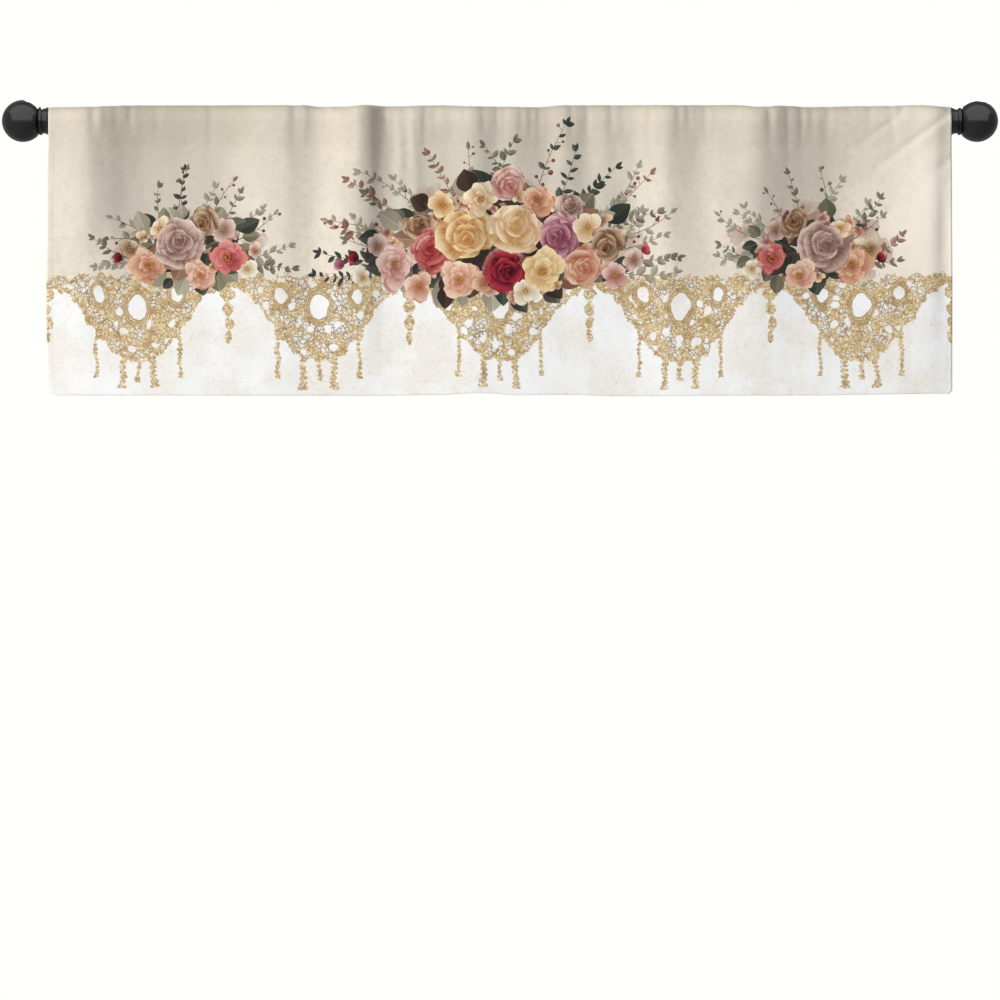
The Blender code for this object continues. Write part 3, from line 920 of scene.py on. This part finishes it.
def grid_points():
    """Bare points that carry the folds: closer in the pocket and along the hems."""
    side_lines = []
    for beyond in (0.0, 0.5 * math.pi * SIDE_HEM_ROUND, math.pi * SIDE_HEM_ROUND, SIDE_HEM / 2, SIDE_HEM):
        side_lines += [FLAT_HALF_WIDTH + beyond, -FLAT_HALF_WIDTH - beyond]
    hem_round = math.pi * BOTTOM_HEM_ROUND
    crown = PANEL_LENGTH + POCKET_GIRTH / 2
    back_seam = PANEL_LENGTH + POCKET_GIRTH
    # The heights of a band's rows, and how far apart the points of each row lie.
    bands = (
        (spaced(-BOTTOM_HEM, -hem_round, 0.010), 0.010),
        (spaced(-hem_round * 0.75, -hem_round * 0.25, hem_round / 4), 0.010),
        (spaced(0.0, 0.012, 0.004), 0.010),
        (spaced(0.022, PANEL_LENGTH - 0.040, 0.012), 0.0082),
        (spaced(PANEL_LENGTH - 0.031, PANEL_LENGTH - 0.006, 0.008), 0.0046),
        (spaced(PANEL_LENGTH, crown + 0.012, 0.0044), 0.0036),
        (spaced(crown + 0.018, back_seam - 0.005, 0.0060), 0.012),
        (spaced(back_seam, back_seam + UNDERLAP, 0.0030), 0.010),
    )
    found = []
    for rows, spacing in bands:
        inner = spaced(SIDE_CLEARANCE - FLAT_HALF_WIDTH, FLAT_HALF_WIDTH - SIDE_CLEARANCE, spacing)
        for up in rows:
            lines = inner + [x for x in side_lines if up >= 0 or abs(x) <= FLAT_HALF_WIDTH]
            found += [Vector((x, up)) for x in lines]
    return found


def middle_of(triangle):
    return (verts[triangle[0]] + verts[triangle[1]] + verts[triangle[2]]) / 3


def lies_on_cloth(point):
    """True but for the corners, which are cut away so that the hems don't bunch."""
    return point.y >= 0 or abs(point.x) <= FLAT_HALF_WIDTH


print_verts, edges, top, finder = print_edges()
used = sorted({index for pair in edges for index in pair})
renumbered = {index: number for number, index in enumerate(used)}
points = [print_verts[index] for index in used] + grid_points()
edges = [(renumbered[start], renumbered[end]) for start, end in edges]
verts, _, triangles, _, _, _ = delaunay_2d_cdt(points, edges, [], 0, PRINT_FINENESS, False)
triangles = [triangle for triangle in triangles if lies_on_cloth(middle_of(triangle))]
flat = np.array([(v.x, v.y) for v in verts])

cloth = bpy.data.meshes.new("printed_valance")
cloth.from_pydata(drape(flat[:, 0], flat[:, 1]).tolist(), [], triangles)
cloth.validate()
corners = np.array(triangles)
owner = np.full(len(triangles), -1)
for number, triangle in enumerate(triangles):
    middle = middle_of(triangle)
    hit = finder.ray_cast((middle.x, middle.y, 1.0), (0.0, 0.0, -1.0))
    if hit[2] is not None:
        owner[number] = top[hit[2]]

corner_owner = np.repeat(owner, 3)
printed = corner_owner >= 0
own = np.maximum(corner_owner, 0)
corner_flat = flat[corners.ravel()]


def of_owner(field):
    """One value of the outline that owns each corner of each face."""
    return np.array([getattr(shape, field) for shape in shapes])[own]


def share_of(length):
    """How far each corner lies from the root of its outline, as a share of a length of it."""
    return (from_root * length).sum(1) / (length ** 2).sum(1)


from_root = corner_flat - of_owner("root")
kinds = np.where(printed, of_owner("kind"), 0)
blade = np.stack((share_of(of_owner("along")), share_of(of_owner("across")), kinds), axis=1)


def corner_values(name, kind, field, values):
    """Store values for each corner of each face."""
    cloth.attributes.new(name, kind, "CORNER").data.foreach_set(field, values.astype(np.float32).ravel())


light_inks = np.array([(*shape.ink.light, 1.0) for shape in shapes])[own] * printed[:, None]
deep_inks = np.array([(*shape.ink.deep, shape.shaded) for shape in shapes])[own]
corner_values("ink_light", "FLOAT_COLOR", "color", light_inks)
corner_values("ink_deep", "FLOAT_COLOR", "color", deep_inks)
corner_values("blade", "FLOAT_VECTOR", "vector", blade)
cut = cloth.uv_layers.new(name="cut")
cut.data.foreach_set("uv", corner_flat.astype(np.float32).ravel())
cloth.shade_smooth()

# Valance, its print and weave
# Transfer print on a plain weave: each ink pale at the rim and deep at the heart, over the lace border
# and a cream ground that turns white below. The wrong side shows a pale ghost of it.

GHOST_PALENESS = 0.78
UNPRINTED_WHITE = to_linear(238, 235, 229)
PRINT_EDGE = 0.0004
WEAVE_RELIEF = 0.00003
SLACK_RELIEF = 0.0016


def attribute(finish, name, output=0):
    return finish.node("ShaderNodeAttribute", {"attribute_name": name}, None, output)


def oval(x, up, middle_x, middle_up, half_width, half_height):
    """0 in the middle of an oval and 1 on its rim."""
    across = (x - middle_x) / half_width
    rise = (up - middle_up) / half_height
    return (across * across + rise * rise) ** 0.5


def ink_colour(finish):
    """Petals pale at the rim and deep at the heart, leaves with a midrib, and shaded berries."""
    light_ink = attribute(finish, "ink_light")
    deep_ink = attribute(finish, "ink_deep")
    heart = attribute(finish, "ink_deep", 3)
    along, across, kind = finish.parts(attribute(finish, "blade", 1))
    leaf, bead, stalk = [finish.maths("COMPARE", kind, number, 0.1) for number in (LEAF, BEAD, STALK)]
    along = finish.node("ShaderNodeClamp", None, {0: along, 1: 0.001, 2: 0.999})
    broadest = PETAL_BROADEST + (LEAF_BROADEST - PETAL_BROADEST) * leaf
    roundness = PETAL_ROUND + (LEAF_ROUND - PETAL_ROUND) * leaf
    width = (math.pi * along ** broadest).wave() ** roundness
    rim = abs(across) / (width + 0.001)
    opened = along.step(heart, 1.02) ** 0.75
    fan = finish.vector(across / (along + 0.25) * 5.0, along * 1.5)
    streaks = finish.noise(finish.moved(fan, light_ink), 1.6, 3.0) - 0.5
    petal_tone = opened * 0.95 + 0.70 * streaks + 0.25 * rim.step(0.45, 0.95)
    leaf_tone = 0.15 + 0.35 * across.step(-0.15, 0.15) + 0.8 * streaks + 0.25 * along
    leaf_tone = leaf_tone + 0.35 * (1 - abs(across).step(0.03, 0.10))
    bead_tone = 1 - oval(along, across, 0.66, -0.25, 0.5, 1.0).step(0.1, 1.1)
    tone = petal_tone + leaf * (leaf_tone - petal_tone) + bead * (bead_tone - petal_tone)
    tone = tone + stalk * (0.4 - tone)
    colour = finish.blend(tone, deep_ink, light_ink)
    rim_line = rim.step(0.88, 1.0) * (1 - bead) * (1 - stalk)
    return finish.blend(0.55 * rim_line, colour, deep_ink)


# The gold lace border: its drops, and what hangs from them, measured across and up the flat cloth.
LACE_PITCH = 0.275
LACE_SWAY = 0.020
LACE_TOP = 0.176
DROP_TIP = 0.046
DROP_RISE = 0.112
DROP_PICOTS = 7
PENDANT_TIP = 0.076
PENDANT_LOBE = 0.022
STRING_BEAD = 0.0075
# Each string's place beside the middle of a drop, the height of its lower end, and half its width.
STRINGS = ((0.0, 0.020, 0.0030), (0.024, 0.008, 0.0040), (0.062, 0.026, 0.0026))
GOLD_LIGHT = to_linear(240, 222, 178)
GOLD_MIDDLE = to_linear(208, 174, 114)
GOLD_RICH = to_linear(176, 136, 76)
GOLD_DEEP = to_linear(132, 100, 62)
GREY_THREAD = to_linear(172, 157, 136)


def lace(finish, flat_place):
    """Scalloped drops of curled gold wire with oval rings, pendants between, and beaded strings."""
    warped = finish.moved(flat_place, finish.noise(flat_place, 24.0, 3.0, 0.6, output=1), LACE_SWAY)
    ragged = finish.noise(flat_place, 170.0, 3.0, 0.65) - 0.5
    x, up, _ = finish.parts(warped)
    x = x - LACE_SWAY / 2
    up = up - LACE_SWAY / 2
    cell = x / LACE_PITCH + 0.5
    from_middle = abs(cell - finish.maths("FLOOR", cell) - 0.5) * LACE_PITCH
    share = from_middle / (LACE_PITCH / 2)
    picots = (share * (math.pi * DROP_PICOTS)).wave()
    edge = DROP_TIP + DROP_RISE * share.step(0.08, 0.95) + 0.006 * picots
    inward = up - edge + 0.020 * ragged
    to_top = LACE_TOP - up + 0.008 * (share * (math.pi * 4)).wave() + 0.024 * ragged
    inside = inward.step(-PRINT_EDGE, PRINT_EDGE) * to_top.step(-PRINT_EDGE, PRINT_EDGE)

    curls = abs(finish.noise(warped, 120.0, 2.0, 0.55) - 0.5)
    fine_curls = abs(finish.noise(warped, 250.0, 2.0, 0.55) - 0.5)
    scrolls = finish.noise(warped, 46.0, 3.0, 0.6)
    specks = finish.noise(warped, 300.0)
    opening = finish.cells(warped, 44.0)
    net = finish.cells(warped, 135.0, "DISTANCE_TO_EDGE")
    medallion = oval(from_middle, up, 0.0, 0.134, 0.0165, 0.0225)
    side_ring = oval(from_middle, up, 0.058, 0.152, 0.0105, 0.0140)
    ring_bands = finish.largest(medallion.below(1.35, 0.1), side_ring.below(1.45, 0.1))
    ring_lines = [
        abs(ring - line).below(0.05, 0.04)
        for ring in (medallion, side_ring)
        for line in (0.90, 1.12, 1.34)
    ]
    openings = finish.largest(
        medallion.below(0.84, 0.04),
        side_ring.below(0.80, 0.05),
        opening.below(0.26, 0.02) * (1 - ring_bands) * inward.step(0.006, 0.010),
    )
    dense = finish.largest(inward.below(0.008, 0.003), scrolls.step(0.45, 0.49), ring_bands)
    holes = specks.step(0.58, 0.64) * (1 - ring_bands)
    fine_threads = 0.7 * fine_curls.below(0.018, 0.010)
    threads = finish.largest(net.below(0.085, 0.04), curls.below(0.024, 0.009), fine_threads)
    woven = finish.largest(dense * (1 - 0.9 * holes), threads) * inside * (1 - openings)

    from_gap = LACE_PITCH / 2 - from_middle
    rise = up - PENDANT_TIP
    lobes = (rise * (math.pi / PENDANT_LOBE)).wave() ** 0.6
    pendant = (from_gap - lobes * (0.0040 + 0.090 * rise) + 0.006 * ragged).below(0.0, PRINT_EDGE)
    pendant = pendant * rise.step(0.0, 0.0005) * up.below(0.172, 0.0005)
    beads = (up * (math.pi / STRING_BEAD)).wave()
    strings = []
    for middle, end, half_width in STRINGS:
        width = half_width * (0.45 + 0.85 * beads) + 0.0020 * up.below(end + 0.008, 0.004)
        string = (abs(from_middle - middle) - width + 0.004 * ragged).below(0.0, PRINT_EDGE)
        strings.append(string * up.step(end, end + 0.0008) * (up - edge).below(0.004, 0.0005))
    hung = finish.largest(pendant, *strings) * (1 - 0.7 * holes)

    gold = finish.blend(specks.step(0.36, 0.56), GOLD_MIDDLE, GOLD_LIGHT)
    gold = finish.blend(0.55 * finish.noise(warped, 64.0).step(0.48, 0.66), gold, GOLD_RICH)
    gold = finish.blend(0.6 * (1 - dense), gold, GREY_THREAD)
    outlines = finish.largest(
        net.below(0.045, 0.035), fine_curls.below(0.012, 0.010), curls.below(0.010, 0.008), *ring_lines
    )
    return finish.largest(woven, hung), finish.blend(0.65 * outlines, gold, GOLD_DEEP)


WHITE_TOP = 0.166
CREAM_LIGHT = to_linear(240, 231, 215)
CREAM_DEEP = to_linear(228, 219, 204)
MOTTLE_BEIGE = to_linear(212, 202, 184)
WASH_GREY = to_linear(196, 190, 177)
# Painted shade: the colour that darkens the cream along the top of the cloth.
UPPER_PAINTED_SHADE = to_linear(204, 194, 176)
# Printed haze at the top left, deepened by painted shade of the folds there.
TOP_LEFT_HAZE_AND_SHADE = to_linear(190, 180, 162)
# Painted light: the colour that lightens the cream at the right end.
RIGHT_END_PAINTED_LIGHT = to_linear(249, 241, 227)
WHITE_COOL = to_linear(252, 254, 255)
WHITE_WARM = to_linear(248, 245, 240)
STROKE_BEIGE = to_linear(226, 216, 202)


def ground_colour(finish, flat_place):
    """Cream above and white below, with soft washes of grey beige behind the sprays. Painted shade darkens
    the top, and painted light lightens the right end.
    """
    x, up, _ = finish.parts(flat_place)
    cloud = finish.noise(flat_place, 9.0, 4.0, 0.6)
    mottle = finish.noise(flat_place, 90.0, 3.0, 0.65)
    cream = finish.blend(cloud.step(0.3, 0.7), CREAM_DEEP, CREAM_LIGHT)
    cream = finish.blend(0.5 * mottle.step(0.45, 0.75), cream, MOTTLE_BEIGE)
    washes = []
    for middle, breadth in ((0.0, 0.24), (-0.510, 0.13), (0.440, 0.11)):
        reach = oval(x, up, middle, 0.300, breadth, 0.190) + 0.6 * (cloud - 0.5)
        washes.append(1 - reach.step(0.45, 1.1))
    cream = finish.blend(0.60 * finish.largest(*washes), cream, WASH_GREY)
    # Painted shade: the cream darkens towards the top.
    cream = finish.blend(0.40 * up.step(0.26, 0.44), cream, UPPER_PAINTED_SHADE)
    # Printed haze and painted shade of the folds darken the top left.
    top_left_haze_and_shade = up.step(0.32, 0.42) * (1 - abs(x + 0.49).step(0.06, 0.15))
    cream = finish.blend(0.45 * top_left_haze_and_shade, cream, TOP_LEFT_HAZE_AND_SHADE)
    # Painted light: the cream lightens towards the right end, less near the top.
    right_end_painted_light = x.step(0.52, 0.66) * (0.9 - 0.5 * up.step(0.30, 0.40))
    cream = finish.blend(right_end_painted_light, cream, RIGHT_END_PAINTED_LIGHT)
    curled = finish.moved(flat_place, finish.noise(flat_place, 16.0, output=1), 0.045)
    curled_x, curled_up, _ = finish.parts(curled)
    stroke_place = finish.vector((curled_x + curled_up) * 420.0, (curled_up - curled_x) * 90.0)
    strokes = finish.noise(stroke_place, 1.0).step(0.50, 0.68)
    tufts = cloud.step(0.42, 0.60)
    white = finish.blend(tufts, WHITE_COOL, WHITE_WARM)
    white = finish.blend(0.55 * strokes * (0.35 + 0.65 * tufts), white, STROKE_BEIGE)
    lower = (up + 0.03 * (cloud - 0.5)).below(WHITE_TOP, 0.016)
    return finish.blend(lower, cream, white)


def printed_colour(finish, flat_place):
    """All layers of the print: ground, lace, then flowers."""
    covered, gold = lace(finish, flat_place)
    colour = finish.blend(0.96 * covered, ground_colour(finish, flat_place), gold)
    return finish.blend(attribute(finish, "ink_light", 3), colour, ink_colour(finish))


def weave(finish, flat_place):
    """The relief of a plain weave with slack places, in metres."""
    x, up, _ = finish.parts(flat_place)
    turns = math.tau / WEAVE_PITCH
    threads = finish.maths("SINE", x * turns) * finish.maths("SINE", up * turns)
    slack = finish.noise(flat_place, 26.0, 3.0)
    finish.bump(WEAVE_RELIEF * threads + SLACK_RELIEF * slack, 1.0)


for name, ghost in (("printed_face", 0.0), ("wrong_face", GHOST_PALENESS)):
    face = Finish(name, {"Roughness": 0.85, "Specular IOR Level": 0.2, "Sheen Weight": 0.08})
    flat_place = face.node("ShaderNodeUVMap", {"uv_map": "cut"})
    face.feed("Base Color", face.blend(ghost, printed_colour(face, flat_place), UNPRINTED_WHITE))
    weave(face, flat_place)
    cloth.materials.append(face.material)

valance = placed("printed_valance", cloth)
thickness = valance.modifiers.new("cloth thickness", "SOLIDIFY")
thickness.thickness = CLOTH_THICKNESS
thickness.offset = 0.0
thickness.material_offset = 1
thickness.material_offset_rim = 1
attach(valance, "root")
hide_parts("valance")

# Valance, its stitching
# Lockstitch in cream polyester thread: the pocket's seam, the bottom hem and the two side hems. Each
# row shows on the room side and again on the turned edge behind.

STITCH_LENGTH = 0.0030
STITCH_GAP = 0.0011
THREAD_RADIUS = 0.00022
SEAM_ROW = 0.004
HEM_ROW = 0.019
SIDE_ROW = 0.008
ROW_MARGIN = 0.004
FACING_STEP = 0.0004


def stitch_row(start, end):
    """Flat places of the ends of each stitch in a row."""
    start, end = np.array(start), np.array(end)
    count = int(np.linalg.norm(end - start) / (STITCH_LENGTH + STITCH_GAP))
    step = (end - start) / count
    firsts = start + np.arange(count)[:, None] * step
    return firsts, firsts + step * STITCH_LENGTH / (STITCH_LENGTH + STITCH_GAP)


def on_cloth(places):
    """Hanging points of flat places, and the way that the printed side faces there."""
    x, up = places.T
    sideways = drape(x + FACING_STEP, up) - drape(x - FACING_STEP, up)
    upwards = drape(x, up + FACING_STEP) - drape(x, up - FACING_STEP)
    facing = np.cross(sideways, upwards)
    facing /= np.linalg.norm(facing, axis=1)[:, None]
    return drape(x, up) + facing * CLOTH_THICKNESS / 2, facing


seam_x = FLAT_HALF_WIDTH - SIDE_ROW / 2
underlap_row = PANEL_LENGTH + POCKET_GIRTH + SEAM_ROW
hem_back_row = -HEM_ROW - math.pi * BOTTOM_HEM_ROUND / 2
side_back = FLAT_HALF_WIDTH + SIDE_ROW + math.pi * SIDE_HEM_ROUND / 2
rows = [
    stitch_row((-seam_x, up), (seam_x, up))
    for up in (PANEL_LENGTH - SEAM_ROW, underlap_row, HEM_ROW, hem_back_row)
]
for side in (-1, 1):
    for x in (side * (FLAT_HALF_WIDTH - SIDE_ROW), side * side_back):
        rows.append(stitch_row((x, ROW_MARGIN), (x, PANEL_LENGTH - ROW_MARGIN)))
stitching = bmesh.new()
for firsts, lasts in rows:
    first_points, _ = on_cloth(firsts)
    last_points, _ = on_cloth(lasts)
    middles, facings = on_cloth((firsts + lasts) / 2)
    for first, last, middle, facing in zip(first_points, last_points, middles, facings):
        first, last, middle, facing = map(Vector, (first, last, middle, facing))
        aside = facing.cross(last - first).normalized() * THREAD_RADIUS
        lifted = facing * THREAD_RADIUS
        ring = [middle + aside, middle + 2 * lifted, middle - aside, middle - lifted]
        ends = [stitching.verts.new(first), stitching.verts.new(last)]
        ring = [stitching.verts.new(point) for point in ring]
        for corner, following in zip(ring, ring[1:] + ring[:1]):
            stitching.faces.new((ends[0], corner, following))
            stitching.faces.new((ends[1], following, corner))
bmesh.ops.recalc_face_normals(stitching, faces=stitching.faces)
thread = Finish("cream_thread", {"Base Color": (*to_linear(232, 224, 208), 1.0), "Roughness": 0.7})
stitches = finished_piece("seam_threads", stitching, thread.material)

# Studio
# A pale floor well below the curtain, a pale surrounding whose bright front the enamel mirrors, and soft
# lights from the left, from the front and from behind.

METRES_PER_PIXEL = 0.001524
ROD_PIXEL = 121
FRAME_PIXELS = 1000
FLOOR_DROP = 2.05
FLOOR_RADIUS = 2.4
CAMERA_DISTANCE = 7.5
KEY_DISTANCE = 14.0
KEY_SIZE = 2.4
SOFT_DISTANCE = 6.0
SOFT_SIZE = 3.0
KEY_WHITE = (1.0, 0.985, 0.965)
SOFT_WHITE = (1.0, 0.995, 0.99)

floor = bmesh.new()
bmesh.ops.create_circle(floor, cap_ends=True, segments=96, radius=FLOOR_RADIUS)
bmesh.ops.translate(floor, verts=floor.verts, vec=(0.0, 0.0, -FLOOR_DROP))
pale = Finish("studio_pale", {"Base Color": (0.86, 0.86, 0.84, 1.0), "Roughness": 0.9})
studio_floor = finished_shape("studio_floor", floor, pale.material)
studio_floor.visible_glossy = False


def soft_light(name, direction, distance, size, power, colour, glossy=True):
    """A square soft light that shines on the middle of the cloth."""
    data = bpy.data.lights.new(name, "AREA")
    data.shape = "SQUARE"
    data.size = size
    data.energy = power
    data.color = colour
    lamp = placed(name, data)
    away = Vector(direction).normalized()
    lamp.location = Vector((0.0, 0.0, -HEM_DROP / 2)) + away * distance
    lamp.rotation_euler = away.to_track_quat("Z", "Y").to_euler()
    lamp.visible_glossy = glossy


soft_light("key_light", (-0.84, -0.50, 0.16), KEY_DISTANCE, KEY_SIZE, 2250.0, KEY_WHITE, glossy=False)
soft_light("front_light", (0.30, -0.92, 0.22), SOFT_DISTANCE, SOFT_SIZE, 46.0, SOFT_WHITE, glossy=False)
soft_light("back_light", (0.10, 0.90, 0.45), SOFT_DISTANCE, SOFT_SIZE, 190.0, SOFT_WHITE)

world = bpy.data.worlds.new("pale_room")
world.use_nodes = True
bpy.context.scene.world = world
room = Tree(world.node_tree)
direction_x, direction_y, direction_z = room.parts(room.node("ShaderNodeTexCoord"))
bright = direction_z.step(-0.02, 0.02) * (1 - direction_y.step(-0.10, 0.25))
bright = bright * (1 - abs(direction_x).step(0.80, 0.88))
mirrored = room.node("ShaderNodeLightPath", output=3)
strength = 0.075 + 0.17 * bright + mirrored * (0.175 + 0.86 * bright)
lighting = room.node("ShaderNodeBackground", None, {"Color": (0.97, 0.98, 1.0, 1.0), "Strength": strength})
seen = room.node("ShaderNodeBackground", None, {"Color": (1.0, 1.0, 0.965, 1.0), "Strength": 1.0})
straight = room.node("ShaderNodeLightPath")
chosen = room.node("ShaderNodeMixShader", None, {0: straight, 1: lighting, 2: seen})
room.links.new(chosen.socket, room.nodes["World Output"].inputs["Surface"])

camera_data = bpy.data.cameras.new("camera")
camera_data.sensor_width = 36.0
frame_width = FRAME_PIXELS * METRES_PER_PIXEL
camera_data.lens = camera_data.sensor_width * CAMERA_DISTANCE / frame_width
camera = placed("camera", camera_data)
camera.location = (0.0, -CAMERA_DISTANCE, (ROD_PIXEL - FRAME_PIXELS / 2) * METRES_PER_PIXEL)
camera.rotation_euler = (math.pi / 2, 0.0, 0.0)
bpy.context.scene.camera = camera
bpy.context.scene.view_settings.view_transform = "Standard"
